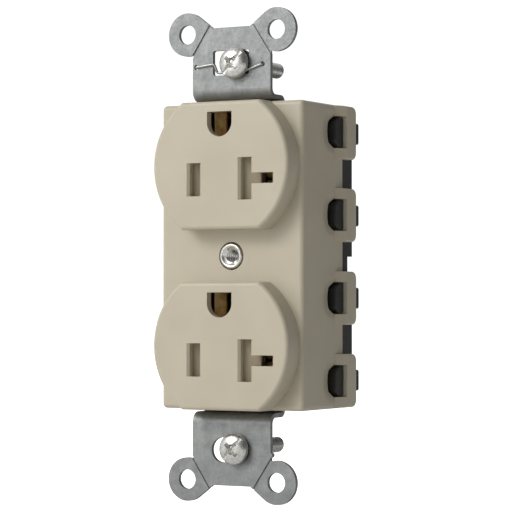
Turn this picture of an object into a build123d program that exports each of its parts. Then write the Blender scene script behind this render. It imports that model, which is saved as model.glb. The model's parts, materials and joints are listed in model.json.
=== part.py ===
from build123d import *

import os
from math import acos, atan2, cos, hypot, sin

os.makedirs("parts", exist_ok=True)

# ---------------------------------------------------------------------------
# A tamper-resistant 20 A duplex wall outlet, ground holes up. Millimetres.
# X runs to the right, Y runs back into the wall and Z runs up. The origin is
# on the axis of the centre cover-plate screw, in the body's flat front plane.
# ---------------------------------------------------------------------------

# Outlet pattern
FACE_SPACING = 38.9         # centre to centre of the two raised faces
FACE_RADIUS = 16.8
FACE_HALF_HEIGHT = 13.8     # the round face is cut flat above and below
FACE_RISE = 5.2             # how far a face stands out of the body
FACE_THICK = 1.8
BLADE_SPACING = 12.7        # hot slot to neutral slot
BLADE_DROP = 3.0            # blade line below the face centre
GROUND_OFFSET = 11.9        # ground pin above the blade line
SLOT_WIDTH = 2.6
HOT_SLOT_HEIGHT = 7.2
NEUTRAL_SLOT_HEIGHT = 9.1
T_LEG_END = 12.9            # outer end of the neutral slot's sideways leg
T_LEG_HEIGHT = 2.3
SLOT_LEAD_IN = 0.5          # slope on the side edges of the blade slots
GROUND_HOLE_RADIUS = 3.05
GROUND_HOLE_FLAT = 2.35      # flat top edge above the hole's centre

# Cover and back body
BODY_WIDTH = 35.3
BODY_HEIGHT = FACE_SPACING + 2 * FACE_HALF_HEIGHT
COVER_DEPTH = 18.3          # front plane to the cover's rear rim
COVER_WALL = 2.0
CORNER_RADIUS = 1.0
FACE_EDGE_RADIUS = 0.85
BODY_DEPTH = 24.0
BACK_WIDTH = 34.6           # back body where it stands out behind the cover
BACK_HEIGHT = 65.0
NEST_GAP = 0.15             # play between the back body and the cover walls

# Mounting strap
STRAP_THICK = 1.0
STRAP_WIDTH = 19.4
PLATE_END = 49.7            # free edge of each end plate
FLANGE_OUT = 34.85          # outer face of the flange beside the body's end
WEB_FRONT = 5.6             # depth of the strap where it crosses the body
EAR_X = 11.11
EAR_Z = 48.62
EAR_RADIUS = 4.75
EAR_HOLE_RADIUS = 2.13
SCORE_WIDTH = 0.45          # grooves where the ears break off, front and back
SCREW_SLOT_HEIGHT = 5.4
SCREW_SLOT_LENGTH = 9.0
SCREW_SLOT_X = -0.1
ROUND_SLOT_LENGTH = 9.3     # the bottom slot, with round ends
ROUND_SLOT_X = -0.25
SCREW_SLOT_Z = 42.0
SCREW_Z = 41.67             # half of the 83.34 mm box screw spacing
SCREW_X = 1.3               # where the loose screws lie in their slots

# Openings in the strap's web
WEB_NECK = 3.3              # half width between the line contacts
WEB_WAIST = 6.5             # half width beside the bush
CONTACT_WINDOW_HEIGHT = 11.0
GROUND_WINDOW = (6.8, 6.6)
WIRE_HOLES = (-8.8, 7.8)    # two holes hold the ends of the grounding wire
WIRE_HOLE_Z = 41.3
WIRE_HOLE_RADIUS = 0.55
SCORE_START = (5.3, 50.5)   # a score line's ends, beside one ear
SCORE_FINISH = (9.9, 43.5)

# Latches, the same on both sides of the body
LATCH_HEIGHTS = (-27.2, -9.1, 9.1, 27.2)
LOOP_HEIGHT = 11.7
LOOP_FRONT = 14.6
LOOP_SLOPE_END = 17.2
LOOP_REAR = 22.1
LOOP_STAND = 1.65           # how far a loop stands out of the side wall
HOOK_FRONT = 13.3
HOOK_REAR = 17.25
HOOK_HALF_HEIGHT = 3.3
HOOK_NOSE_HALF_HEIGHT = 2.1
HOOK_SHOULDER = 2.0         # length of the hook's slanted front corners
HOOK_STAND = 0.85
WINDOW_CLEARANCE = 0.2
WINDOW_FRONT = 12.5         # the windows start ahead of the hooks
FOOT_HALF_HEIGHT = 2.3      # small blocks behind the loops
FOOT_REAR = 23.6
FOOT_STAND = 1.5

# Tamper shutters
SHUTTER_EDGE = 8.6          # right edge; the shutters slide 4.2 mm to the left
SHUTTER_FRONT = -3.2
SHUTTER_BACK = -1.1
RAMP_END = -1.8             # depth where the blades' ramps end
SLIDER_HALF_HEIGHT = 4.7
TRAY_FRONT = -1.0
TRAY_BACK = 0.0
TRAY_TOP = 5.9              # the tray stops here, above the blade line
LUG_X = 0.0                 # left face of the lug that the spring pushes
LUG_WIDTH = 1.6
SPRING_STOP = -8.8          # fixed end of the spring
SPRING_DROP = 7.1           # axis of the spring below the blade line
SPRING_TURNS = 8
SPRING_RADIUS = 0.85
SPRING_WIRE_RADIUS = 0.15

# Brass contacts
LEAF_THICK = 0.6
CONTACT_MOUTH = 0.6
CONTACT_PINCH = 3.4
CONTACT_GAP = 0.9           # between the leaves where they pinch a blade
CONTACT_BASE = 14.0
BUS_X = 14.0
T_CLIP_X = 10.8             # the clip for a sideways blade, beside the shutter
T_CLIP_WIDTH = 3.8
T_CLIP_MOUTH = -0.9         # behind the shutter's back face
T_CLIP_PINCH = 0.6
T_CLIP_GAP = 0.4
GROUND_MOUTH = -2.1
GROUND_PINCH = 0.3          # depth where the ground leaves come closest
GROUND_PINCH_X = 1.2
PIN_END = 22.6
BUS_HALF_THICK = 0.4
BASE_HALF_HEIGHT = 3.1      # base plates, as high as the leaves on them
PIN_HALF_HEIGHT = 2.0
TERMINAL_LOW = 5.2          # ground terminal: lower face of its blade, end of its foot
TERMINAL_HIGH = 10.3

# Recesses in the back body
POCKET_IN = 4.3             # pockets of the line contacts
POCKET_OUT = 14.7
POCKET_HALF_HEIGHT = 4.7
POCKET_BACK = 14.5
STRIP_RECESS_IN = 13.3      # joins the two pockets of one side
STRIP_RECESS_FRONT = 10.0
GROUND_POCKET = (7.2, 8.2, 4.6)     # half width, depth of its floor, half height
GROUND_BORE_RADIUS = 3.2
BUSH_RECESS_RADIUS = 3.7
PIN_PLAY = 0.2
PORT_FRONT = 17.6
PORT_HALF_WIDTH = 15.4
PORT_LOW = -6.5
PORT_HIGH = 8.5
NOTCH_HIGH = 0.1            # latch notches in the port's side walls
NOTCH_DEPTH = 2.6

# Screws and bush, all 6-32
SHANK_RADIUS = 1.72
NECK_RADIUS = 1.45          # under the head, where the strap and retainer sit
THREAD_START = 2.1
SHANK_END = 18.8
HEAD_RADIUS = 3.4
HEAD_HEIGHT = 2.0
HEAD_STAND = 0.68           # the loose heads stand clear of the strap by this much
DRIVE_TURN = -47            # the drive slots run up to the right
DRIVE_WIDTH = 0.9
DRIVE_DEPTH = 1.1
CROSS_LENGTH = 4.2
RETAINER_RADIUS = 3.3
RETAINER_THICK = 0.8
WIRE_RADIUS = 0.28
BUSH_RADIUS = 2.75
BUSH_NECK_RADIUS = 2.25
BUSH_HOLE_RADIUS = 1.38
BUSH_FRONT = -0.3
BUSH_BACK = 8.4
BUSH_SINK_RADIUS = 2.2      # mouth of the shallow countersink
RIVET_RADIUS = 0.9
RIVET_HEAD_RADIUS = 1.3
RIVET_X = 5.3               # two rivets hold each ground contact
TERMINAL_RIVET_Z = 8.9

BACK = (0, 1, 0)
HALF_WIDTH = BODY_WIDTH / 2
HALF_HEIGHT = BODY_HEIGHT / 2
INNER_X = HALF_WIDTH - COVER_WALL
INNER_Z = HALF_HEIGHT - COVER_WALL
WEB_BACK = WEB_FRONT + STRAP_THICK
FACES = {"upper": FACE_SPACING / 2, "lower": -FACE_SPACING / 2}
ENDS = {"top": 1, "bottom": -1}


def depth(y):
    """The plane y mm behind the front plane, with X to the right and Z up."""
    return Plane.XZ.offset(-y)


def across(x):
    """The plane square to the X axis at x, with Y to the right and Z up."""
    return Plane.YZ.offset(x)


def level(z):
    """The plane square to the Z axis at z."""
    return Plane.XY.offset(z)


def block(low, high, mode=Mode.ADD):
    """A box between two opposite corners, in the part being built."""
    sizes = [b - a for a, b in zip(low, high)]
    middle = tuple((a + b) / 2 for a, b in zip(low, high))
    with Locations(middle):
        Box(*sizes, mode=mode)


def side_block(side, near, far, mode=Mode.ADD):
    """A block given for the right side. side is 1 for right and -1 for left."""
    left, right = sorted((side * near[0], side * far[0]))
    block((left, *near[1:]), (right, *far[1:]), mode)


def blade_line(centre):
    return centre - BLADE_DROP


def ground_line(centre):
    return blade_line(centre) + GROUND_OFFSET


RIVET_SPOTS = [(x, ground_line(c)) for c in FACES.values() for x in (RIVET_X, -RIVET_X)]
RIVET_SPOTS.append((0, TERMINAL_RIVET_Z))


def both_walls(shape):
    """A latch feature of the right wall and its mirror image, at every latch height."""
    left = mirror(shape, about=Plane.YZ, mode=Mode.PRIVATE)
    return [Pos(0, 0, z) * one for z in LATCH_HEIGHTS for one in (shape, left)]


def face_outline(radius, half_height, plane):
    """A circle cut flat above and below."""
    with BuildSketch(plane) as outline:
        Circle(radius)
        Rectangle(2 * radius, 2 * half_height, mode=Mode.INTERSECT)
    return outline.sketch


# --- Front cover -----------------------------------------------------------


def raised_face():
    """One outlet face with its rounded front edge, centred on Z = 0."""
    with BuildPart() as face:
        extrude(face_outline(FACE_RADIUS, FACE_HALF_HEIGHT, depth(-FACE_RISE)), FACE_RISE + 1, dir=BACK)
        fillet(face.faces().sort_by(Axis.Y)[0].edges(), FACE_EDGE_RADIUS)
    return face.part


def face_slots():
    """The hot, neutral and ground openings, about the face centre."""
    blade = BLADE_SPACING / 2
    leg = T_LEG_END - blade
    with BuildSketch(depth(-FACE_RISE - 1)) as slots:
        with Locations((-blade, -BLADE_DROP)):
            RectangleRounded(SLOT_WIDTH, HOT_SLOT_HEIGHT, 0.3)
        with Locations((blade, -BLADE_DROP)):
            RectangleRounded(SLOT_WIDTH, NEUTRAL_SLOT_HEIGHT, 0.3)
        with Locations((blade + leg / 2, -BLADE_DROP)):
            RectangleRounded(leg, T_LEG_HEIGHT, 0.3)
        with Locations((0, GROUND_OFFSET - BLADE_DROP + 0.3)):
            with BuildSketch(mode=Mode.PRIVATE) as round_hole:
                Circle(GROUND_HOLE_RADIUS)
                Rectangle(2 * GROUND_HOLE_RADIUS, GROUND_HOLE_FLAT, align=(Align.CENTER, Align.MIN))
                with Locations((0, GROUND_HOLE_FLAT)):
                    Rectangle(
                        3 * GROUND_HOLE_RADIUS,
                        GROUND_HOLE_RADIUS,
                        align=(Align.CENTER, Align.MIN),
                        mode=Mode.SUBTRACT,
                    )
            add(round_hole.sketch)
    return slots.sketch


def slot_lead_ins():
    """Wedges that slope the side edges of the blade slots, about the face centre."""
    blade = BLADE_SPACING / 2
    half = SLOT_WIDTH / 2
    with BuildPart() as wedges:
        for left, right, height in (
            (-blade - half, -blade + half, HOT_SLOT_HEIGHT),
            (blade - half, blade + half, NEUTRAL_SLOT_HEIGHT),
            (blade, T_LEG_END, T_LEG_HEIGHT),
        ):
            with BuildSketch(level(-BLADE_DROP - height / 2)):
                with BuildLine():
                    Polyline(
                        (left - SLOT_LEAD_IN, -FACE_RISE),
                        (left, -FACE_RISE + SLOT_LEAD_IN),
                        (right, -FACE_RISE + SLOT_LEAD_IN),
                        (right + SLOT_LEAD_IN, -FACE_RISE),
                        close=True,
                    )
                make_face()
            extrude(amount=height)
    return wedges.part


def hook_outline(plane, front, grow=0.0):
    """The side view of a hook, or of its window, with slanted front corners."""
    high = HOOK_HALF_HEIGHT + grow
    nose = HOOK_NOSE_HALF_HEIGHT + grow
    shoulder = front + HOOK_SHOULDER
    with BuildSketch(plane) as outline:
        with BuildLine():
            Polyline(
                (HOOK_REAR, high),
                (shoulder, high),
                (front, nose),
                (front, -nose),
                (shoulder, -high),
                (HOOK_REAR, -high),
                close=True,
            )
        make_face()
        fillet(outline.vertices().group_by(Axis.Y)[:-1], 0.7)
    return outline.sketch


def latch_dish():
    """A shallow bell-shaped hollow in the right wall, around the front of a hook."""
    radius = 5.2
    deep = 0.75
    middle = WINDOW_FRONT + 1.0
    with BuildPart() as dish:
        with BuildSketch(Plane.XY):
            with BuildLine():
                bell = Spline(
                    (HALF_WIDTH - deep, middle),
                    (HALF_WIDTH + 0.04, middle - radius),
                    tangents=((0, -1), (0.06, -1)),
                    tangent_scalars=(1.3, 1.0),
                )
                Polyline(bell @ 1, (HALF_WIDTH + 1, middle - radius), (HALF_WIDTH + 1, middle), bell @ 0)
            make_face()
        revolve(axis=Axis((0, middle, 0), (1, 0, 0)))
    return dish.part


def snap_loop():
    """One latch loop on the right wall, centred on Z = 0: it slopes out, then runs back."""
    outer = HALF_WIDTH + LOOP_STAND
    inner = HALF_WIDTH - 0.3
    with BuildPart() as loop:
        with BuildSketch(level(-LOOP_HEIGHT / 2)):
            with BuildLine():
                Polyline(
                    (INNER_X + 1, LOOP_FRONT),
                    (HALF_WIDTH, LOOP_FRONT),
                    (outer, LOOP_SLOPE_END),
                    (outer, LOOP_REAR),
                    (inner, LOOP_REAR),
                    (inner, COVER_DEPTH),
                    (INNER_X + 1, COVER_DEPTH),
                    close=True,
                )
            make_face()
        extrude(amount=LOOP_HEIGHT)
        fillet(loop.edges().filter_by(Axis.X).group_by(Axis.Y)[-1], 1.6)
        fillet(loop.faces().sort_by(Axis.Y)[-1].edges().sort_by(Axis.X)[-1], 0.5)
    return loop.part


with BuildPart() as front_cover:
    block((-HALF_WIDTH, 0, -HALF_HEIGHT), (HALF_WIDTH, COVER_DEPTH, HALF_HEIGHT))
    fillet(front_cover.edges().filter_by(Axis.Y), CORNER_RADIUS)
    fillet(front_cover.edges().filter_by(Axis.Z).group_by(Axis.Y)[0], CORNER_RADIUS)
    for centre in FACES.values():
        with Locations((0, 0, centre)):
            add(raised_face())
    # Hollow behind the front wall and behind each face
    block((-INNER_X, COVER_WALL, -INNER_Z), (INNER_X, COVER_DEPTH + 1, INNER_Z), Mode.SUBTRACT)
    hollow_radius = FACE_RADIUS - FACE_THICK
    hollow_half = FACE_HALF_HEIGHT - FACE_THICK
    for centre in FACES.values():
        hollow = face_outline(hollow_radius, hollow_half, depth(FACE_THICK - FACE_RISE))
        extrude(Pos(0, 0, centre) * hollow, FACE_RISE + 1, dir=BACK, mode=Mode.SUBTRACT)
        extrude(Pos(0, 0, centre) * face_slots(), FACE_THICK + 2, dir=BACK, mode=Mode.SUBTRACT)
        add(Pos(0, 0, centre) * slot_lead_ins(), mode=Mode.SUBTRACT)
    # Boss around the centre bush, and ribs that press on the strap
    with BuildSketch(depth(COVER_WALL - 0.5)):
        Circle(4.6)
    extrude(amount=WEB_FRONT - COVER_WALL + 0.4, dir=BACK)
    for rib_z in (10.9, -5.6):
        block((-INNER_X, COVER_WALL - 0.5, rib_z - 0.5), (INNER_X, WEB_FRONT - 0.1, rib_z + 0.5))
    with BuildSketch(depth(-1)):
        Circle(BUSH_RADIUS + 0.3)
    extrude(amount=WEB_FRONT + 2, dir=BACK, mode=Mode.SUBTRACT)
    # Notches in the end walls, where the strap enters
    block(
        (-STRAP_WIDTH / 2 - 0.2, WEB_FRONT - 0.1, -HALF_HEIGHT - 1),
        (STRAP_WIDTH / 2 + 0.2, COVER_DEPTH + 1, HALF_HEIGHT + 1),
        Mode.SUBTRACT,
    )
    # Dished wall ahead of each latch, the loops, and the windows for the hooks
    add(both_walls(latch_dish()), mode=Mode.SUBTRACT)
    add(both_walls(snap_loop()))
    window = hook_outline(across(-BODY_WIDTH), WINDOW_FRONT, WINDOW_CLEARANCE)
    high = HOOK_HALF_HEIGHT + WINDOW_CLEARANCE
    for z in LATCH_HEIGHTS:
        extrude(Pos(0, 0, z) * window, 2 * BODY_WIDTH, dir=(1, 0, 0), mode=Mode.SUBTRACT)
        low_corner = (-BODY_WIDTH, HOOK_REAR - 1, z - high)
        block(low_corner, (BODY_WIDTH, HOOK_REAR + 0.1, z + high), Mode.SUBTRACT)
front_cover.part.label = "front_cover"
export_step(front_cover.part, "parts/front_cover.step")

# --- Back body -------------------------------------------------------------


def snap_hook():
    """One hook on the right wall, centred on Z = 0: square behind, with a narrowed front."""
    root = INNER_X - NEST_GAP - 0.5
    tip = HALF_WIDTH + HOOK_STAND
    with BuildPart() as hook:
        extrude(hook_outline(across(root), HOOK_FRONT), tip - root, dir=(1, 0, 0))
        rim = hook.faces().sort_by(Axis.X)[-1].edges()
        fillet(rim.sort_by(Axis.Y)[:-1], 0.3)
    return hook.part


def loop_foot():
    """The block behind a loop on the right wall, centred on Z = 0."""
    low = (PORT_HALF_WIDTH, LOOP_REAR + 0.1, -FOOT_HALF_HEIGHT)
    high = (HALF_WIDTH + FOOT_STAND, FOOT_REAR, FOOT_HALF_HEIGHT)
    with BuildPart() as foot:
        block(low, high)
        chamfer(foot.faces().sort_by(Axis.X)[-1].edges(), 0.35)
    return foot.part


with BuildPart() as back_body:
    nest_x = INNER_X - NEST_GAP
    nest_z = INNER_Z - NEST_GAP
    block((-nest_x, WEB_BACK, -nest_z), (nest_x, COVER_DEPTH, nest_z))
    tongue_x = STRAP_WIDTH / 2
    block((-tongue_x, WEB_BACK, -HALF_HEIGHT), (tongue_x, COVER_DEPTH, HALF_HEIGHT))
    back_x = BACK_WIDTH / 2
    back_z = BACK_HEIGHT / 2
    block((-back_x, COVER_DEPTH, -back_z), (back_x, BODY_DEPTH, back_z))
    rear_edges = back_body.faces().sort_by(Axis.Y)[-1].edges()
    fillet(rear_edges, 0.5)
    # Pockets for the line and ground contacts, open towards the cover
    low_line = blade_line(FACES["lower"])
    high_line = blade_line(FACES["upper"])
    ground_x, ground_floor, ground_z = GROUND_POCKET
    for centre in FACES.values():
        low = blade_line(centre) - POCKET_HALF_HEIGHT
        high = blade_line(centre) + POCKET_HALF_HEIGHT
        for side in (1, -1):
            side_block(
                side,
                (POCKET_IN, WEB_BACK - 1, low),
                (POCKET_OUT, POCKET_BACK, high),
                Mode.SUBTRACT,
            )
        ground = ground_line(centre)
        block(
            (-ground_x, WEB_BACK - 1, ground - ground_z),
            (ground_x, ground_floor, ground + ground_z),
            Mode.SUBTRACT,
        )
        with BuildSketch(depth(WEB_BACK)):
            with Locations((0, ground)):
                Circle(GROUND_BORE_RADIUS)
        extrude(amount=PORT_FRONT - WEB_BACK, dir=BACK, mode=Mode.SUBTRACT)
    # Room for each bus between its pockets, and for its pin into the port
    pin_x = BUS_HALF_THICK + PIN_PLAY
    pin_z = PIN_HALF_HEIGHT + PIN_PLAY
    for side in (1, -1):
        side_block(
            side,
            (STRIP_RECESS_IN, STRIP_RECESS_FRONT, low_line),
            (POCKET_OUT, POCKET_BACK, high_line),
            Mode.SUBTRACT,
        )
        side_block(
            side,
            (BUS_X - pin_x, POCKET_BACK - 1, -pin_z),
            (BUS_X + pin_x, PORT_FRONT + 1, pin_z),
            Mode.SUBTRACT,
        )
    # Recess for the bush's tail and the ground terminal's foot and blade
    with BuildSketch(depth(WEB_BACK - 1)):
        Circle(BUSH_RECESS_RADIUS)
    extrude(amount=3.6, dir=BACK, mode=Mode.SUBTRACT)
    block((-2.4, WEB_BACK - 1, 3.0), (2.4, ground_floor, TERMINAL_HIGH + 0.3), Mode.SUBTRACT)
    block(
        (-2.2, WEB_BACK - 1, TERMINAL_LOW - 0.3),
        (2.2, PORT_FRONT + 1, TERMINAL_LOW + LEAF_THICK + 0.3),
        Mode.SUBTRACT,
    )
    # Rear connector port, with a latch notch through each side wall
    block(
        (-PORT_HALF_WIDTH, PORT_FRONT, PORT_LOW),
        (PORT_HALF_WIDTH, BODY_DEPTH + 1, PORT_HIGH),
        Mode.SUBTRACT,
    )
    block(
        (-BACK_WIDTH, BODY_DEPTH - NOTCH_DEPTH, PORT_LOW),
        (BACK_WIDTH, BODY_DEPTH + 1, NOTCH_HIGH),
        Mode.SUBTRACT,
    )
    add(both_walls(snap_hook()))
    add(both_walls(loop_foot()))
back_body.part.label = "back_body"
export_step(back_body.part, "parts/back_body.step")

# --- Mounting strap --------------------------------------------------------


def end_plate_outline():
    """The plate with its two round ears, above Z = 38, in the front plane."""
    corner = (4.7, PLATE_END)
    reach = hypot(EAR_X - corner[0], EAR_Z - corner[1])
    turn = atan2(EAR_Z - corner[1], EAR_X - corner[0]) + acos((reach**2 - EAR_RADIUS**2) ** 0.5 / reach)
    run = (reach**2 - EAR_RADIUS**2) ** 0.5
    tangent = (corner[0] + run * cos(turn), corner[1] + run * sin(turn))
    with BuildSketch(depth(0)) as outline:
        for side in (1, -1):
            with BuildLine():
                Polyline(
                    (0, 38),
                    (side * STRAP_WIDTH / 2, 38),
                    (side * STRAP_WIDTH / 2, EAR_Z - 4),
                    (side * EAR_X, EAR_Z),
                    (side * tangent[0], tangent[1]),
                    (side * corner[0], corner[1]),
                    (0, PLATE_END),
                    close=True,
                )
            make_face()
        with Locations((EAR_X, EAR_Z), (-EAR_X, EAR_Z)):
            Circle(EAR_RADIUS)
            Circle(EAR_HOLE_RADIUS, mode=Mode.SUBTRACT)
    return outline.sketch


with BuildPart() as mounting_strap:
    # The bent strip: end plate, flange, web through the body, flange, end plate
    with BuildSketch(across(-STRAP_WIDTH / 2)):
        with BuildLine():
            plate_mid = STRAP_THICK / 2
            flange_mid = FLANGE_OUT - STRAP_THICK / 2
            web_mid = WEB_FRONT + STRAP_THICK / 2
            bent = FilletPolyline(
                (plate_mid, 40),
                (plate_mid, flange_mid),
                (web_mid, flange_mid),
                (web_mid, -flange_mid),
                (plate_mid, -flange_mid),
                (plate_mid, -40),
                radius=[1.8, 1.2, 1.2, 1.8],
            )
        trace(bent, STRAP_THICK)
    extrude(amount=STRAP_WIDTH)
    for end in ENDS.values():
        plate = end_plate_outline()
        if end < 0:
            plate = mirror(plate, about=Plane.XY, mode=Mode.PRIVATE)
        extrude(plate, STRAP_THICK, dir=BACK)
    # Screw slots: the top one square-ended on the left, the bottom one round-ended
    with BuildSketch(depth(-1)):
        with Locations((SCREW_SLOT_X, SCREW_SLOT_Z)):
            RectangleRounded(SCREW_SLOT_LENGTH, SCREW_SLOT_HEIGHT, 0.5)
        with Locations((ROUND_SLOT_X, -SCREW_SLOT_Z)):
            SlotOverall(ROUND_SLOT_LENGTH, SCREW_SLOT_HEIGHT)
        # Holes that hold the ends of the grounding wire
        with Locations(*[(x, WIRE_HOLE_Z) for x in WIRE_HOLES]):
            Circle(WIRE_HOLE_RADIUS)
    extrude(amount=STRAP_THICK + 2, dir=BACK, mode=Mode.SUBTRACT)
    # Score lines where the ears break off
    for side in (1, -1):
        for end in (1, -1):
            start = Vector(side * SCORE_START[0], 0, end * SCORE_START[1])
            finish = Vector(side * SCORE_FINISH[0], 0, end * SCORE_FINISH[1])
            for y, deep in ((0, 0.3), (STRAP_THICK, 0.15)):
                middle = (start + finish) * 0.5 + Vector(0, y, 0)
                lean = Plane(origin=middle, x_dir=finish - start, z_dir=(0, -1, 0))
                with Locations(lean.location):
                    Box((finish - start).length, SCORE_WIDTH, 2 * deep, mode=Mode.SUBTRACT)
    # The web narrows between the line contacts and opens around the ground pins
    with BuildSketch(depth(WEB_FRONT - 1)):
        for centre in FACES.values():
            for side in (1, -1):
                with Locations((side * (WEB_NECK + 5), blade_line(centre))):
                    Rectangle(10, CONTACT_WINDOW_HEIGHT)
            with Locations((0, ground_line(centre))):
                RectangleRounded(*GROUND_WINDOW, 0.6)
        for side in (1, -1):
            with Locations((side * (WEB_WAIST + 2.5), 2.2)):
                Rectangle(5, 17.0)
        Circle(BUSH_NECK_RADIUS + 0.02)
        with Locations(*RIVET_SPOTS):
            Circle(RIVET_RADIUS)
    extrude(amount=STRAP_THICK + 1.2, dir=BACK, mode=Mode.SUBTRACT)
    # Shear stub left on the lower right edge when the strap was cut from its strip
    with Locations((STRAP_WIDTH / 2, STRAP_THICK / 2, -42.8)):
        Cylinder(0.5, STRAP_THICK, rotation=(90, 0, 0))
mounting_strap.part.label = "mounting_strap"
export_step(mounting_strap.part, "parts/mounting_strap.step")

# --- Threaded bush for the cover-plate screw -------------------------------

with BuildPart() as cover_screw_bush:
    with BuildSketch(across(0)):
        with BuildLine():
            Polyline(
                (BUSH_FRONT, BUSH_SINK_RADIUS),
                (BUSH_FRONT, BUSH_RADIUS - 0.3),
                (BUSH_FRONT + 0.3, BUSH_RADIUS),
                (WEB_FRONT, BUSH_RADIUS),
                (WEB_FRONT, BUSH_NECK_RADIUS),
                (WEB_BACK, BUSH_NECK_RADIUS),
                (WEB_BACK, 3.2),
                (WEB_BACK + 0.6, 2.9),
                (BUSH_BACK, 2.1),
                (BUSH_BACK, BUSH_HOLE_RADIUS),
                (0, BUSH_HOLE_RADIUS),
                close=True,
            )
        make_face()
    revolve(axis=Axis.Y)
cover_screw_bush.part.label = "cover_screw_bush"
export_step(cover_screw_bush.part, "parts/cover_screw_bush.step")

# --- Line contacts ---------------------------------------------------------


def spring_clip(plane, height, mouth=CONTACT_MOUTH, pinch=CONTACT_PINCH, gap=CONTACT_GAP):
    """Two leaves that pinch a blade, joined behind. mouth and pinch are depths."""
    half = [
        (1.5, mouth),
        ((gap + LEAF_THICK) / 2, pinch),
        (1.3, 8.0),
        (1.3, CONTACT_BASE),
    ]
    u_turn = [(-across_blade, y) for across_blade, y in half] + half[::-1]
    if plane == "XY":
        sheet, points = level(-height / 2), u_turn
    else:
        sheet, points = across(-height / 2), [(y, z) for z, y in u_turn]
    with BuildPart() as clip:
        with BuildSketch(sheet):
            with BuildLine():
                bent = FilletPolyline(*points, radius=[0.8, 2.0, 0.5, 0.5, 2.0, 0.8])
            trace(bent, LEAF_THICK)
        extrude(amount=height)
    return clip.part


def line_bus(side):
    """Base plates, side strip and rear pin shared by one pole's two contacts."""
    inner = BUS_X - BUS_HALF_THICK
    outer = BUS_X + BUS_HALF_THICK
    base_front = CONTACT_BASE - LEAF_THICK / 2
    base_back = CONTACT_BASE + LEAF_THICK / 2
    low = blade_line(FACES["lower"]) - BASE_HALF_HEIGHT
    high = blade_line(FACES["upper"]) + BASE_HALF_HEIGHT
    with BuildPart() as bus:
        for centre in FACES.values():
            line = blade_line(centre)
            side_block(
                side,
                (5.2, base_front, line - BASE_HALF_HEIGHT),
                (outer, base_back, line + BASE_HALF_HEIGHT),
            )
            with Locations((side * BLADE_SPACING / 2, 0, line)):
                add(spring_clip("XY", 2 * BASE_HALF_HEIGHT))
        side_block(side, (inner, 10.4, low), (outer, base_back, high))
        side_block(side, (inner, CONTACT_BASE, -PIN_HALF_HEIGHT), (outer, PIN_END, PIN_HALF_HEIGHT))
        chamfer(bus.faces().sort_by(Axis.Y)[-1].edges().filter_by(Axis.Z), 0.25)
    return bus.part


with BuildPart() as hot_bus:
    add(line_bus(-1))
hot_bus.part.label = "hot_bus"
export_step(hot_bus.part, "parts/hot_bus.step")

with BuildPart() as neutral_bus:
    add(line_bus(1))
    # A second pair of leaves takes the sideways blade of a 20 A plug
    for centre in FACES.values():
        with Locations((T_CLIP_X, 0, blade_line(centre))):
            add(spring_clip("YZ", T_CLIP_WIDTH, T_CLIP_MOUTH, T_CLIP_PINCH, T_CLIP_GAP))
neutral_bus.part.label = "neutral_bus"
export_step(neutral_bus.part, "parts/neutral_bus.step")

# --- Ground contacts, terminal and rivets ----------------------------------

for place, centre in FACES.items():
    ground = ground_line(centre)
    with BuildPart() as ground_contact:
        with BuildSketch(depth(WEB_BACK)):
            with Locations((0, ground)):
                Rectangle(14.0, 8.8)
                Rectangle(5.2, 6.0, mode=Mode.SUBTRACT)
            with Locations((RIVET_X, ground), (-RIVET_X, ground)):
                Circle(RIVET_RADIUS, mode=Mode.SUBTRACT)
        extrude(amount=LEAF_THICK, dir=BACK)
        for side in (1, -1):
            with BuildSketch(level(ground - 2.9)):
                with BuildLine():
                    leaf = FilletPolyline(
                        (side * 3.0, GROUND_MOUTH),
                        (side * GROUND_PINCH_X, GROUND_PINCH),
                        (side * 2.6, 2.4),
                        (side * 2.85, WEB_BACK + LEAF_THICK),
                        radius=[0.6, 2.0],
                    )
                trace(leaf, 0.5)
            extrude(amount=5.8)
    ground_contact.part.label = f"{place}_ground_contact"
    export_step(ground_contact.part, f"parts/{place}_ground_contact.step")

with BuildPart() as ground_terminal:
    block((-2.0, WEB_BACK, TERMINAL_LOW), (2.0, WEB_BACK + LEAF_THICK, TERMINAL_HIGH))
    block((-2.0, WEB_BACK, TERMINAL_LOW), (2.0, PIN_END, TERMINAL_LOW + LEAF_THICK))
    chamfer(ground_terminal.faces().sort_by(Axis.Y)[-1].edges().filter_by(Axis.X), 0.2)
    with BuildSketch(depth(WEB_BACK - 1)):
        with Locations((0, TERMINAL_RIVET_Z)):
            Circle(RIVET_RADIUS)
    extrude(amount=3, dir=BACK, mode=Mode.SUBTRACT)
ground_terminal.part.label = "ground_terminal"
export_step(ground_terminal.part, "parts/ground_terminal.step")

with BuildPart() as ground_rivets:
    for x, z in RIVET_SPOTS:
        tail = WEB_BACK + LEAF_THICK
        for start, finish, radius in (
            (WEB_FRONT - 0.5, WEB_FRONT, RIVET_HEAD_RADIUS),
            (WEB_FRONT, tail, RIVET_RADIUS),
            (tail, tail + 0.5, RIVET_HEAD_RADIUS),
        ):
            with BuildSketch(depth(start)):
                with Locations((x, z)):
                    Circle(radius)
            extrude(amount=finish - start, dir=BACK)
ground_rivets.part.label = "ground_rivets"
export_step(ground_rivets.part, "parts/ground_rivets.step")

# --- Tamper shutters -------------------------------------------------------

slider = SLIDER_HALF_HEIGHT
rail = SLIDER_HALF_HEIGHT + 0.1

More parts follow.
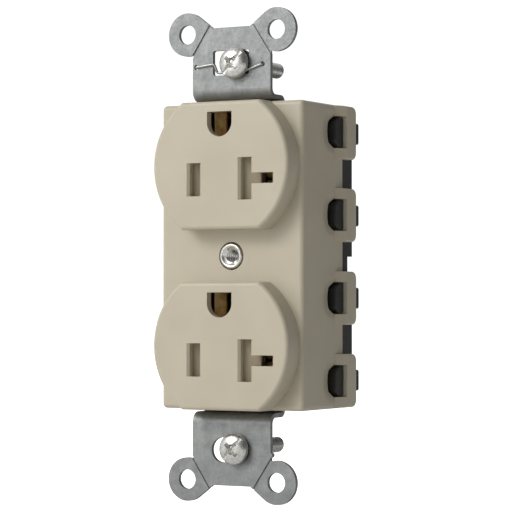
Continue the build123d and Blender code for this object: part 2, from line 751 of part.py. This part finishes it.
for place, centre in FACES.items():
    line = blade_line(centre)

    with BuildPart() as shutter_tray:
        plate = face_outline(hollow_radius - 0.1, hollow_half, depth(TRAY_FRONT))
        extrude(Pos(0, 0, centre) * plate, TRAY_BACK - TRAY_FRONT, dir=BACK)
        block((-20, -4, line + TRAY_TOP), (20, 2, line + 20), Mode.SUBTRACT)
        # Rails above and below the shutter, and a stop for the spring
        block((-11.5, SHUTTER_FRONT, line + rail), (11.5, TRAY_FRONT, line + TRAY_TOP))
        block((-10.0, SHUTTER_FRONT, line - 5.8), (-4.6, TRAY_FRONT, line - rail))
        block((1.7, SHUTTER_FRONT, line - 5.8), (10.0, TRAY_FRONT, line - rail))
        block((SPRING_STOP - 0.8, SHUTTER_FRONT, line - 8.4), (SPRING_STOP, TRAY_FRONT, line - 5.8))
        # Openings for the blades
        for x, half in ((-BLADE_SPACING / 2, 3.9), (BLADE_SPACING / 2, 4.5)):
            block((x - 1.55, -2, line - half), (x + 1.55, 1, line + half), Mode.SUBTRACT)
        block((BLADE_SPACING / 2, -2, line - 1.4), (T_LEG_END + 0.2, 1, line + 1.4), Mode.SUBTRACT)
        block((T_CLIP_X - 2.1, -2, line - 2.0), (T_CLIP_X + 2.3, 1, line + 2.0), Mode.SUBTRACT)
    shutter_tray.part.label = f"{place}_shutter_tray"
    export_step(shutter_tray.part, f"parts/{place}_shutter_tray.step")

    with BuildPart() as tamper_shutter:
        block((-8.6, SHUTTER_FRONT, line - 3.9), (-4.6, SHUTTER_BACK, line + 3.9))
        block((-4.6, SHUTTER_FRONT, line - slider), (SHUTTER_EDGE, SHUTTER_BACK, line + slider))
        block((LUG_X, SHUTTER_FRONT + 0.2, line - 8.2), (LUG_X + LUG_WIDTH, SHUTTER_BACK, line - slider))
        # Window that lines up with the hot slot when the shutter slides left
        block((-4.6, -4, line - 3.8), (-0.4, 0, line + 3.8), Mode.SUBTRACT)
        # Ramps that turn the push of the blades into sideways travel
        for start, finish, half in ((-8.3, -4.4, 3.7), (4.9, 9.4, 4.9)):
            with BuildSketch(level(line - half)):
                with BuildLine():
                    Polyline(
                        (start, SHUTTER_FRONT - 1),
                        (start, SHUTTER_FRONT),
                        (finish, RAMP_END),
                        (finish, SHUTTER_FRONT - 1),
                        close=True,
                    )
                make_face()
            extrude(amount=2 * half, mode=Mode.SUBTRACT)
    tamper_shutter.part.label = f"{place}_tamper_shutter"
    export_step(tamper_shutter.part, f"parts/{place}_tamper_shutter.step")

    with BuildPart() as shutter_spring:
        free_length = LUG_X - SPRING_STOP - 2 * SPRING_WIRE_RADIUS
        coil = Helix(
            pitch=free_length / SPRING_TURNS,
            height=free_length,
            radius=SPRING_RADIUS,
            direction=(1, 0, 0),
        )
        wire_plane = Plane(origin=coil @ 0, z_dir=coil % 0)
        with BuildSketch(wire_plane):
            Circle(SPRING_WIRE_RADIUS)
        sweep(path=coil)
    spring_y = (SHUTTER_FRONT + SHUTTER_BACK) / 2
    spring_at = Pos(SPRING_STOP + SPRING_WIRE_RADIUS, spring_y, line - SPRING_DROP)
    spring = spring_at * shutter_spring.part
    spring.label = f"{place}_shutter_spring"
    export_step(spring, f"parts/{place}_shutter_spring.step")

# --- Box screws and what holds them in the strap ---------------------------

for place, end in ENDS.items():
    axis_z = end * SCREW_Z

    with BuildPart() as mounting_screw:
        under = -HEAD_STAND
        rim = axis_z + HEAD_RADIUS
        side = axis_z + SHANK_RADIUS
        neck = axis_z + NECK_RADIUS
        with BuildSketch(across(SCREW_X)):
            with BuildLine():
                Polyline(
                    (under - HEAD_HEIGHT, axis_z),
                    (SHANK_END, axis_z),
                    (SHANK_END, side - 0.5),
                    (SHANK_END - 0.5, side),
                    (THREAD_START + 0.2, side),
                    (THREAD_START, neck),
                    (under, neck),
                    (under, rim),
                    (under - 0.5, rim),
                )
                ThreePointArc(
                    (under - 0.5, rim),
                    (under - 0.8 * HEAD_HEIGHT, axis_z + 0.6 * HEAD_RADIUS),
                    (under - HEAD_HEIGHT, axis_z),
                )
            make_face()
        revolve(axis=Axis((SCREW_X, 0, axis_z), (0, 1, 0)))
        # Combination drive: a straight slot crossed by a shorter recess
        with Locations(Location((SCREW_X, under - HEAD_HEIGHT, axis_z), (0, DRIVE_TURN, 0))):
            Box(2 * HEAD_RADIUS + 1, 2 * DRIVE_DEPTH, DRIVE_WIDTH, mode=Mode.SUBTRACT)
            Box(DRIVE_WIDTH, 2 * DRIVE_DEPTH, CROSS_LENGTH, mode=Mode.SUBTRACT)
    mounting_screw.part.label = f"mounting_screw_{place}"
    export_step(mounting_screw.part, f"parts/mounting_screw_{place}.step")

    with BuildPart() as screw_retainer:
        with BuildSketch(depth(STRAP_THICK + 0.05)):
            with Locations((SCREW_X, axis_z)):
                Circle(RETAINER_RADIUS)
                Circle(NECK_RADIUS + 0.05, mode=Mode.SUBTRACT)
        extrude(amount=RETAINER_THICK, dir=BACK)
    screw_retainer.part.label = f"screw_retainer_{place}"
    export_step(screw_retainer.part, f"parts/screw_retainer_{place}.step")

# --- Self-grounding wire, in the top screw slot ----------------------------

with BuildPart() as grounding_wire:
    with BuildLine() as route:
        over = -WIRE_RADIUS - 0.02
        under_neck = SCREW_Z - NECK_RADIUS - WIRE_RADIUS - 0.04
        left_hole, right_hole = WIRE_HOLES
        FilletPolyline(
            (left_hole, 2.0, WIRE_HOLE_Z),
            (left_hole, over, WIRE_HOLE_Z),
            (-4.1, over, 41.8),
            (-3.8, 0.6, under_neck),
            (2.6, 0.6, under_neck),
            (3.9, over, under_neck + 0.2),
            (right_hole, over, WIRE_HOLE_Z),
            (right_hole, 2.0, WIRE_HOLE_Z),
            radius=0.5,
        )
    with BuildSketch(Plane(origin=route.line @ 0, z_dir=route.line % 0)):
        Circle(WIRE_RADIUS)
    sweep()
grounding_wire.part.label = "grounding_wire"
export_step(grounding_wire.part, "parts/grounding_wire.step")
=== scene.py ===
import json
import math

import bmesh
import bpy
from mathutils import Matrix, Vector


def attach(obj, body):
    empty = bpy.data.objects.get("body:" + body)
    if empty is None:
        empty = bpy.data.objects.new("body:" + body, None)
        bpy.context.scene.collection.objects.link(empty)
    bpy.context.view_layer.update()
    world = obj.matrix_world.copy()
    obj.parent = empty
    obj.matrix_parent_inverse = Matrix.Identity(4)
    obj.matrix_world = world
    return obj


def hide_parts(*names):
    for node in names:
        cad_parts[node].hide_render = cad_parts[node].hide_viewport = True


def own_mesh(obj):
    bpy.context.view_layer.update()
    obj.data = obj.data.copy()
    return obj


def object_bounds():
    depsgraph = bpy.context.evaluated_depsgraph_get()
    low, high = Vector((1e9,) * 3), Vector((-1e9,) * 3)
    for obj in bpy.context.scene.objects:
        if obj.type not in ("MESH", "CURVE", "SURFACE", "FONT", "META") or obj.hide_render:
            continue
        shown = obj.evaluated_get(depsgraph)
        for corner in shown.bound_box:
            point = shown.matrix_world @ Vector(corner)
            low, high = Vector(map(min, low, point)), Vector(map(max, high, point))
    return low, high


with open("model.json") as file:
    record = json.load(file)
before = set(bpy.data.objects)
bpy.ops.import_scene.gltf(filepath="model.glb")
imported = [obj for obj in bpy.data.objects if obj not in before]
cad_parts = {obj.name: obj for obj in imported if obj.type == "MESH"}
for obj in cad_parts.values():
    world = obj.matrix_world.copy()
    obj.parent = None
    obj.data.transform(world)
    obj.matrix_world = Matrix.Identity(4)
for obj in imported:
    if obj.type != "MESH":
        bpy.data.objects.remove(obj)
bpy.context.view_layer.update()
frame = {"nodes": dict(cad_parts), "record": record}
nodes = frame["nodes"]

MM = 0.001

# ---------------------------------------------------------------------------
# Camera and light
# ---------------------------------------------------------------------------

CAMERA_AZIMUTH = math.radians(29.34)
CAMERA_ELEVATION = math.radians(-1.23)
CAMERA_DISTANCE = 0.4951
CAMERA_ASIDE = 0.00537
CAMERA_LENS = 160.8


def add_camera():
    """The photograph's view: from the right of the outlet and level with it."""
    flat = math.cos(CAMERA_ELEVATION)
    back = Vector((
        math.sin(CAMERA_AZIMUTH) * flat,
        -math.cos(CAMERA_AZIMUTH) * flat,
        math.sin(CAMERA_ELEVATION),
    ))
    right = Vector((math.cos(CAMERA_AZIMUTH), math.sin(CAMERA_AZIMUTH), 0))
    up = back.cross(right)
    data = bpy.data.cameras.new("camera")
    data.lens = CAMERA_LENS
    data.sensor_width = 36
    data.clip_start = 0.01
    data.clip_end = 20
    camera = bpy.data.objects.new("camera", data)
    turn = Matrix((right, up, back)).transposed().to_4x4()
    camera.matrix_world = Matrix.Translation(back * CAMERA_DISTANCE + right * CAMERA_ASIDE) @ turn
    bpy.context.scene.collection.objects.link(camera)
    bpy.context.scene.camera = camera


def add_light(name, place, target, size, power, colour=(1, 1, 1)):
    """A square area light aimed at a point."""
    data = bpy.data.lights.new(name, "AREA")
    data.shape = "RECTANGLE"
    data.size, data.size_y = size
    data.energy = power
    data.color = colour
    light = bpy.data.objects.new(name, data)
    aim = Vector(target) - Vector(place)
    light.matrix_world = Matrix.Translation(place) @ aim.to_track_quat("-Z", "Y").to_matrix().to_4x4()
    bpy.context.scene.collection.objects.link(light)


def add_world(bright, dim, backdrop):
    """White studio walls on the left, dim on the right. The camera itself sees a white backdrop."""
    world = bpy.data.worlds.new("studio")
    world.use_nodes = True
    tree = world.node_tree
    direction = tree.nodes.new("ShaderNodeTexCoord")
    split = tree.nodes.new("ShaderNodeSeparateXYZ")
    tree.links.new(direction.outputs["Generated"], split.inputs["Vector"])
    fall = tree.nodes.new("ShaderNodeMapRange")
    for name, value in zip(("From Min", "From Max", "To Min", "To Max"), (-0.3, 0.5, bright, dim)):
        fall.inputs[name].default_value = value
    tree.links.new(split.outputs["X"], fall.inputs["Value"])
    seen = tree.nodes.new("ShaderNodeLightPath")
    shown = tree.nodes.new("ShaderNodeMix")
    shown.inputs["B"].default_value = backdrop
    tree.links.new(seen.outputs["Is Camera Ray"], shown.inputs["Factor"])
    tree.links.new(fall.outputs["Result"], shown.inputs["A"])
    tree.links.new(shown.outputs["Result"], tree.nodes["Background"].inputs["Strength"])
    tree.nodes["Background"].inputs["Color"].default_value = (1, 1, 1, 1)
    bpy.context.scene.world = world


# ---------------------------------------------------------------------------
# Materials. Texture positions are object positions, in metres.
# ---------------------------------------------------------------------------


class Shader:
    """A principled material and short calls for the nodes that feed it."""

    def __init__(self, name):
        self.material = bpy.data.materials.new(name)
        self.material.use_nodes = True
        self.tree = self.material.node_tree
        self.surface = self.tree.nodes["Principled BSDF"]
        self.place = self.node("ShaderNodeTexCoord").outputs["Object"]

    def node(self, kind, **settings):
        made = self.tree.nodes.new(kind)
        for key, value in settings.items():
            setattr(made, key, value)
        return made

    def set(self, **values):
        for key, value in values.items():
            self.surface.inputs[key.replace("_", " ")].default_value = value

    def link(self, source, target):
        self.tree.links.new(source, target)

    def stretched(self, scale):
        """Object position scaled unevenly, for streaks."""
        mapping = self.node("ShaderNodeMapping")
        mapping.inputs["Scale"].default_value = scale
        self.link(self.place, mapping.inputs["Vector"])
        return mapping.outputs["Vector"]

    def noise(self, per_metre, detail=3.0, rough=0.55, where=None):
        made = self.node("ShaderNodeTexNoise")
        made.inputs["Scale"].default_value = per_metre
        made.inputs["Detail"].default_value = detail
        made.inputs["Roughness"].default_value = rough
        self.link(where or self.place, made.inputs["Vector"])
        return made.outputs["Fac"]

    def cells(self, per_metre, feature="F1"):
        made = self.node("ShaderNodeTexVoronoi", feature=feature)
        made.inputs["Scale"].default_value = per_metre
        self.link(self.place, made.inputs["Vector"])
        return made.outputs["Distance"]

    def ramp(self, fac, *stops):
        """Colours or numbers against a factor: stops are (position, value)."""
        made = self.node("ShaderNodeValToRGB")
        made.color_ramp.elements[0].position = stops[0][0]
        made.color_ramp.elements[1].position = stops[-1][0]
        for position, _ in stops[1:-1]:
            made.color_ramp.elements.new(position)
        for element, (_, value) in zip(made.color_ramp.elements, stops):
            if isinstance(value, (int, float)):
                value = (value, value, value)
            element.color = (*value, 1)
        self.link(fac, made.inputs["Fac"])
        return made.outputs["Color"]

    def spread(self, fac, low, high, start=0.3, end=0.7):
        """The factor between start and end becomes a number from low to high."""
        made = self.node("ShaderNodeMapRange")
        for name, value in zip(("From Min", "From Max", "To Min", "To Max"), (start, end, low, high)):
            made.inputs[name].default_value = value
        self.link(fac, made.inputs["Value"])
        return made.outputs["Result"]

    def mix(self, fac, one, other, blend="MIX"):
        made = self.node("ShaderNodeMix", data_type="RGBA", blend_type=blend)
        if isinstance(fac, (int, float)):
            made.inputs["Factor"].default_value = fac
        else:
            self.link(fac, made.inputs["Factor"])
        for socket, value in ((made.inputs[6], one), (made.inputs[7], other)):
            if isinstance(value, tuple):
                socket.default_value = (*value, 1)
            else:
                self.link(value, socket)
        return made.outputs[2]

    def bump(self, height, strength, distance, under=None):
        made = self.node("ShaderNodeBump")
        made.inputs["Strength"].default_value = strength
        made.inputs["Distance"].default_value = distance
        self.link(height, made.inputs["Height"])
        if under is not None:
            self.link(under, made.inputs["Normal"])
        return made.outputs["Normal"]


def moulded_nylon(name, base, dark, light, rough, grain, sheen_through=0.0):
    """Injection-moulded nylon: faint colour drift, a fine satin grain and slow waviness."""
    s = Shader(name)
    drift = s.ramp(s.noise(70, 2.0), (0.3, dark), (0.5, base), (0.72, light))
    speck = s.spread(s.noise(5200, 2.0), 0.94, 1.03)
    speckled = s.mix(1.0, drift, s.ramp(speck, (0.9, 0.9), (1.0, 1.0)), "MULTIPLY")
    s.link(speckled, s.surface.inputs["Base Color"])
    s.link(s.spread(s.noise(900, 3.0), rough - 0.05, rough + 0.07), s.surface.inputs["Roughness"])
    slow = s.bump(s.noise(240, 1.0), 0.25, 0.00006)
    fine = s.bump(s.noise(3600, 3.0, 0.6), grain, 0.00003, slow)
    s.link(fine, s.surface.inputs["Normal"])
    s.set(Specular_IOR_Level=0.45, IOR=1.53)
    if sheen_through:
        s.set(Subsurface_Weight=sheen_through, Subsurface_Scale=0.0015)
        s.surface.inputs["Subsurface Radius"].default_value = (1.0, 0.75, 0.45)
    return s.material


def zinc_plate():
    """Zinc plate on rolled steel: cloudy grey, faint rolling lines, small pits and rubs."""
    s = Shader("zinc_plate")
    cloud = s.ramp(
        s.noise(420, 4.0, 0.62),
        (0.28, (0.24, 0.248, 0.248)),
        (0.52, (0.31, 0.32, 0.315)),
        (0.78, (0.40, 0.405, 0.395)),
    )
    lines = s.noise(1.0, 3.0, 0.6, s.stretched((9000, 9000, 420)))
    rubs = s.spread(s.noise(160, 3.0, 0.7), 0.0, 0.5, 0.5, 0.75)
    rubbed = s.mix(rubs, cloud, (0.48, 0.485, 0.475))
    s.link(s.mix(s.spread(lines, 0.0, 0.35), rubbed, (0.17, 0.175, 0.175)), s.surface.inputs["Base Color"])
    s.link(s.spread(s.noise(1500, 4.0), 0.40, 0.64), s.surface.inputs["Roughness"])
    pits = s.bump(s.cells(2600), 0.25, 0.00004)
    grain = s.bump(s.noise(5200, 4.0, 0.7), 0.4, 0.00003, pits)
    s.link(s.bump(lines, 0.16, 0.00003, grain), s.surface.inputs["Normal"])
    s.set(Metallic=0.85)
    return s.material


def bright_plate(name, tone, rough):
    """Bright nickel or zinc on a turned part: clean metal with fine rubs and dull spots."""
    s = Shader(name)
    dull = tuple(0.72 * c for c in tone)
    s.link(s.ramp(s.noise(1400, 4.0), (0.3, dull), (0.62, tone)), s.surface.inputs["Base Color"])
    s.link(s.spread(s.noise(2600, 4.0, 0.65), rough - 0.07, rough + 0.14), s.surface.inputs["Roughness"])
    s.link(s.bump(s.noise(6500, 3.0), 0.2, 0.00002), s.surface.inputs["Normal"])
    s.set(Metallic=1.0)
    return s.material


def stamped_brass():
    """Half-hard brass strip: warm, slightly tarnished, with fine rolling lines."""
    s = Shader("stamped_brass")
    tarnish = s.ramp(
        s.noise(520, 4.0, 0.6),
        (0.3, (0.34, 0.23, 0.10)),
        (0.55, (0.56, 0.41, 0.20)),
        (0.8, (0.70, 0.54, 0.30)),
    )
    s.link(tarnish, s.surface.inputs["Base Color"])
    s.link(s.spread(s.noise(1800, 3.0), 0.40, 0.60), s.surface.inputs["Roughness"])
    lines = s.noise(1.0, 3.0, 0.6, s.stretched((800, 9000, 9000)))
    s.link(s.bump(lines, 0.2, 0.00003), s.surface.inputs["Normal"])
    s.set(Metallic=0.85)
    return s.material


def pressed_fibre():
    """Dark pressed fibre washer with matted strands."""
    s = Shader("pressed_fibre")
    strands = s.noise(1.0, 4.0, 0.7, s.stretched((2600, 9000, 1200)))
    tone = s.ramp(strands, (0.3, (0.03, 0.028, 0.025)), (0.7, (0.09, 0.085, 0.075)))
    s.link(tone, s.surface.inputs["Base Color"])
    s.link(s.spread(strands, 0.7, 0.9), s.surface.inputs["Roughness"])
    s.link(s.bump(strands, 0.5, 0.00005), s.surface.inputs["Normal"])
    return s.material


IVORY = moulded_nylon(
    "ivory_nylon", (0.55, 0.497, 0.38), (0.525, 0.472, 0.355), (0.575, 0.522, 0.405), 0.40, 0.30, 0.06
)
BLACK = moulded_nylon(
    "black_nylon", (0.0105, 0.0105, 0.009), (0.008, 0.008, 0.007), (0.015, 0.0145, 0.013), 0.5, 0.5
)
SHUTTER = moulded_nylon(
    "shutter_nylon", (0.40, 0.34, 0.235), (0.37, 0.31, 0.21), (0.43, 0.365, 0.255), 0.5, 0.4
)
ZINC = zinc_plate()
SCREW_PLATE = bright_plate("screw_plate", (0.78, 0.775, 0.74), 0.22)
BUSH_PLATE = bright_plate("bush_plate", (0.80, 0.79, 0.75), 0.20)
WIRE_STEEL = bright_plate("wire_steel", (0.50, 0.50, 0.48), 0.34)
BRASS = stamped_brass()
FIBRE = pressed_fibre()

SLOT_MATERIALS = {
    "ivory_nylon": IVORY,
    "black_nylon": BLACK,
    "zinc_steel": ZINC,
    "nickel_brass": BUSH_PLATE,
    "brass": BRASS,
    "shutter_nylon": SHUTTER,
    "spring_steel": WIRE_STEEL,
    "screw_steel": SCREW_PLATE,
    "fibre": FIBRE,
}


def dress_cad_nodes():
    """Every CAD node takes the material of its slot in the record."""
    for entry in frame["record"]["subparts"]:
        mesh = nodes[entry["node"]].data
        mesh.materials.clear()
        mesh.materials.append(SLOT_MATERIALS[entry["material_slot"]])


# ---------------------------------------------------------------------------
# Finer pieces than the CAD's: the two box screws, the centre bush and the springs
# ---------------------------------------------------------------------------

SCREW_X = 1.3
SCREW_Z = 41.67
THREAD_PITCH = 25.4 / 32
THREAD_MAJOR = 1.72
THREAD_MINOR = 1.32
HEAD_RADIUS = 3.4
HEAD_UNDER = -0.68          # the head's flat underside, in front of the strap
HEAD_FACE = -2.68
HEAD_RIM = 0.62             # straight part of the head's edge
DOME_STEPS = 12
NECK_RADIUS = 1.45
THREAD_START = 2.1
SHANK_END = 18.8
DRIVE_TURN = math.radians(47)
AROUND = 48

# Shutter springs, in millimetres. The drop is from the face centre to the spring's axis.
FACE_CENTRE_Z = 19.45
SPRING_STOP = -8.8
SPRING_LENGTH = 8.8
SPRING_DROP = 10.1
SPRING_Y = -2.15
SPRING_TURNS = 8
SPRING_RADIUS = 0.85
SPRING_WIRE = 0.15
COIL_STEPS = 24
WIRE_SIDES = 10

# Share of the pitch, and share of the thread's depth, along one turn's profile
THREAD_SHAPE = ((0.0, 0.0), (0.16, 0.0), (0.46, 1.0), (0.64, 1.0))


def turned(mesh, profile, close_ends=True):
    """Revolves (radius, y) points about Y; the profile's ends are closed with a disc."""
    rings = []
    for radius, y in profile:
        ring = []
        for i in range(AROUND):
            angle = 2 * math.pi * i / AROUND
            ring.append(mesh.verts.new((radius * math.cos(angle), y, radius * math.sin(angle))))
        rings.append(ring)
    for one, other in zip(rings, rings[1:]):
        for i in range(AROUND):
            j = (i + 1) % AROUND
            mesh.faces.new((one[i], one[j], other[j], other[i]))
    if close_ends:
        mesh.faces.new(rings[0])
        mesh.faces.new(rings[-1][::-1])


def thread(mesh, start, end, root, crest, end_radius, close_ends=True):
    """A helical thread between two y planes. Its first and last rings are plain circles."""
    steps = len(THREAD_SHAPE)
    first = -1
    last = math.ceil((end - start) / THREAD_PITCH) + 1
    rows = []
    for turn in range(first, last):
        for share, height in THREAD_SHAPE:
            row = []
            for i in range(AROUND):
                angle = 2 * math.pi * i / AROUND
                y = start + (turn + share + i / AROUND) * THREAD_PITCH
                radius = root + (crest - root) * height
                if y <= start or y >= end:
                    radius = end_radius
                y = min(max(y, start), end)
                row.append(mesh.verts.new((radius * math.cos(angle), y, radius * math.sin(angle))))
            rows.append(row)
    for k in range(len(rows) - 1):
        for i in range(AROUND):
            if i < AROUND - 1:
                corners = (rows[k][i], rows[k][i + 1], rows[k + 1][i + 1], rows[k + 1][i])
            elif k + steps + 1 < len(rows):
                corners = (rows[k][i], rows[k + steps][0], rows[k + steps + 1][0], rows[k + 1][i])
            else:
                continue
            mesh.faces.new(corners)
    bmesh.ops.remove_doubles(mesh, verts=mesh.verts, dist=0.001)
    if close_ends:
        edges = [e for e in mesh.edges if e.is_boundary]
        bmesh.ops.holes_fill(mesh, edges=edges, sides=0)


def piece(name, mesh, place, material, smooth_angle=35):
    """Turns a bmesh in millimetres into a scene object in metres."""
    bmesh.ops.remove_doubles(mesh, verts=mesh.verts, dist=0.001)
    bmesh.ops.recalc_face_normals(mesh, faces=mesh.faces)
    bmesh.ops.transform(mesh, matrix=Matrix.Scale(MM, 4), verts=mesh.verts)
    data = bpy.data.meshes.new(name)
    mesh.to_mesh(data)
    mesh.free()
    data.materials.append(material)
    data.shade_smooth()
    data.set_sharp_from_angle(angle=math.radians(smooth_angle))
    made = bpy.data.objects.new(name, data)
    made.location = Vector(place) * MM
    bpy.context.scene.collection.objects.link(made)
    return made


def wedge(top_length, top_width, low_length, low_width, deep, turn):
    """A tapered cutter for one arm of the drive, sunk into the head's face."""
    mesh = bmesh.new()
    mouth = (top_length, top_width, HEAD_FACE - 0.3)
    bottom = (low_length, low_width, HEAD_FACE + deep)
    for length, width, y in (mouth, bottom):
        for x in (-length / 2, length / 2):
            for z in (-width / 2, width / 2):
                mesh.verts.new((x, y, z))
    bmesh.ops.convex_hull(mesh, input=mesh.verts)
    bmesh.ops.rotate(mesh, cent=(0, 0, 0), matrix=Matrix.Rotation(-turn, 3, "Y"), verts=mesh.verts)
    return mesh


def cut(target, cutters):
    """Cuts solids out of an object, then removes them from the scene."""
    for number, mesh in enumerate(cutters):
        tool = piece(f"cutter_{number}", mesh, (0, 0, 0), target.data.materials[0])
        tool.location = target.location
        modifier = target.modifiers.new("cut", "BOOLEAN")
        modifier.object = tool
        modifier.solver = "EXACT"
        bpy.context.view_layer.update()
        done = bpy.data.meshes.new_from_object(target.evaluated_get(bpy.context.evaluated_depsgraph_get()))
        target.modifiers.remove(modifier)
        target.data = done
        bpy.data.objects.remove(tool)
    target.data.set_sharp_from_angle(angle=math.radians(35))


def add_screw(place, side):
    """A 6-32 combination-drive screw with a domed head and a real thread."""
    head = bmesh.new()
    profile = [(0.4, HEAD_UNDER), (HEAD_RADIUS - 0.12, HEAD_UNDER), (HEAD_RADIUS, HEAD_UNDER - 0.12)]
    shoulder = HEAD_UNDER - HEAD_RIM
    for i in range(DOME_STEPS + 1):
        angle = math.pi / 2 * i / DOME_STEPS
        profile.append((
            max(HEAD_RADIUS * math.cos(angle) ** 0.75, 0.02),
            shoulder + (HEAD_FACE - shoulder) * math.sin(angle),
        ))
    turned(head, profile)
    screw_head = piece(f"screw_head_{place}", head, (SCREW_X, 0, side * SCREW_Z), SCREW_PLATE)
    cut(screw_head, [
        wedge(9, 0.85, 9, 0.75, 0.85, DRIVE_TURN),
        wedge(4.6, 1.0, 1.8, 0.6, 1.35, DRIVE_TURN),
        wedge(4.6, 1.0, 1.8, 0.6, 1.35, DRIVE_TURN + math.pi / 2),
        wedge(2.5, 2.5, 0.8, 0.8, 1.5, DRIVE_TURN + math.pi / 4),
    ])
    shank = bmesh.new()
    thread(shank, THREAD_START - 0.2, SHANK_END - 0.35, THREAD_MINOR, THREAD_MAJOR, THREAD_MINOR)
    neck = bmesh.new()
    turned(neck, [
        (NECK_RADIUS, HEAD_UNDER - 0.1),
        (NECK_RADIUS, THREAD_START - 0.25),
        (THREAD_MINOR - 0.02, THREAD_START),
    ])
    tip = bmesh.new()
    turned(tip, [
        (THREAD_MINOR, SHANK_END - 0.36),
        (THREAD_MINOR, SHANK_END - 0.15),
        (THREAD_MINOR - 0.2, SHANK_END),
    ])
    made = [screw_head]
    for name, mesh in (("shank", shank), ("neck", neck), ("tip", tip)):
        made.append(piece(f"screw_{name}_{place}", mesh, (SCREW_X, 0, side * SCREW_Z), SCREW_PLATE))
    for one in made:
        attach(one, f"{place}_screw")
    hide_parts(f"mounting_screw_{place}")


def add_bush():
    """The centre bush with its countersink and 6-32 internal thread."""
    mesh = bmesh.new()
    sink = [(1.75, 0.05), (2.1, -0.22), (2.2, -0.27), (2.3, -0.3)]
    lip = [(2.45, -0.3), (2.6, -0.24), (2.7, -0.13), (2.75, 0.0)]
    barrel = [(2.75, 5.6), (2.25, 5.6), (2.25, 6.6)]
    riveted_tail = [(3.2, 6.6), (3.1, 6.95), (2.8, 7.3), (2.1, 8.4), (1.75, 8.4)]
    turned(mesh, sink + lip + barrel + riveted_tail, close_ends=False)
    thread(mesh, 0.05, 8.4, 1.75, 1.38, 1.75, close_ends=False)
    bush = piece("threaded_bush", mesh, (0, 0, 0), BUSH_PLATE)
    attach(bush, "outlet")
    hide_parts("cover_screw_bush")


def add_spring(place, centre_z):
    """A shutter's coil spring at its rest length, fixed to the outlet."""
    start = SPRING_STOP + SPRING_WIRE
    length = SPRING_LENGTH - 2 * SPRING_WIRE
    steps = SPRING_TURNS * COIL_STEPS
    mesh = bmesh.new()
    rings = []
    for i in range(steps + 1):
        angle = 2 * math.pi * i / COIL_STEPS
        outward = Vector((0, math.cos(angle), math.sin(angle)))
        along = Vector((
            length / (2 * math.pi * SPRING_TURNS),
            -SPRING_RADIUS * math.sin(angle),
            SPRING_RADIUS * math.cos(angle),
        )).normalized()
        across = along.cross(outward)
        middle = outward * SPRING_RADIUS + Vector((start + length * i / steps, 0, 0))
        ring = []
        for k in range(WIRE_SIDES):
            turn = 2 * math.pi * k / WIRE_SIDES
            offset = outward * math.cos(turn) + across * math.sin(turn)
            ring.append(mesh.verts.new(middle + offset * SPRING_WIRE))
        rings.append(ring)
    for one, other in zip(rings, rings[1:]):
        for k in range(WIRE_SIDES):
            j = (k + 1) % WIRE_SIDES
            mesh.faces.new((one[k], one[j], other[j], other[k]))
    mesh.faces.new(rings[0])
    mesh.faces.new(rings[-1][::-1])
    spring = piece(f"{place}_coil_spring", mesh, (0, SPRING_Y, centre_z - SPRING_DROP), WIRE_STEEL)
    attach(spring, "outlet")
    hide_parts(f"{place}_shutter_spring")
    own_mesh(spring)


def add_floor():
    """Pale paper, overexposed to the camera as in the photograph, but an ordinary bounce for the part."""
    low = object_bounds()[0][2]
    mesh = bpy.data.meshes.new("floor")
    half = 4.0
    mesh.from_pydata(
        [(-half, -half, low), (half, -half, low), (half, half, low), (-half, half, low)], [], [(0, 1, 2, 3)]
    )
    s = Shader("floor_paper")
    s.link(s.ramp(s.noise(4, 2.0), (0.3, 0.86), (0.7, 0.9)), s.surface.inputs["Base Color"])
    s.set(Roughness=0.9)
    seen = s.node("ShaderNodeLightPath").outputs["Is Camera Ray"]
    s.link(seen, s.surface.inputs["Emission Strength"])
    s.surface.inputs["Emission Color"].default_value = (1, 1, 1, 1)
    mesh.materials.append(s.material)
    floor = bpy.data.objects.new("floor", mesh)
    bpy.context.scene.collection.objects.link(floor)


dress_cad_nodes()
add_screw("top", 1)
add_screw("bottom", -1)
add_bush()
add_spring("upper", FACE_CENTRE_Z)
add_spring("lower", -FACE_CENTRE_Z)
add_floor()
# A soft key from the front left, and a pool of light on the floor ahead for the lower plate to reflect
add_world(0.70, 0.14, 1.1)
add_light("key", (-0.40, -0.80, 0.45), (0, 0, 0), (0.8, 0.8), 2.2)
add_light("floor_wash", (-0.9, -1.6, 1.0), (-0.9, -1.6, 0), (1.2, 1.2), 26)
add_camera()
bpy.context.scene.view_settings.view_transform = "Standard"
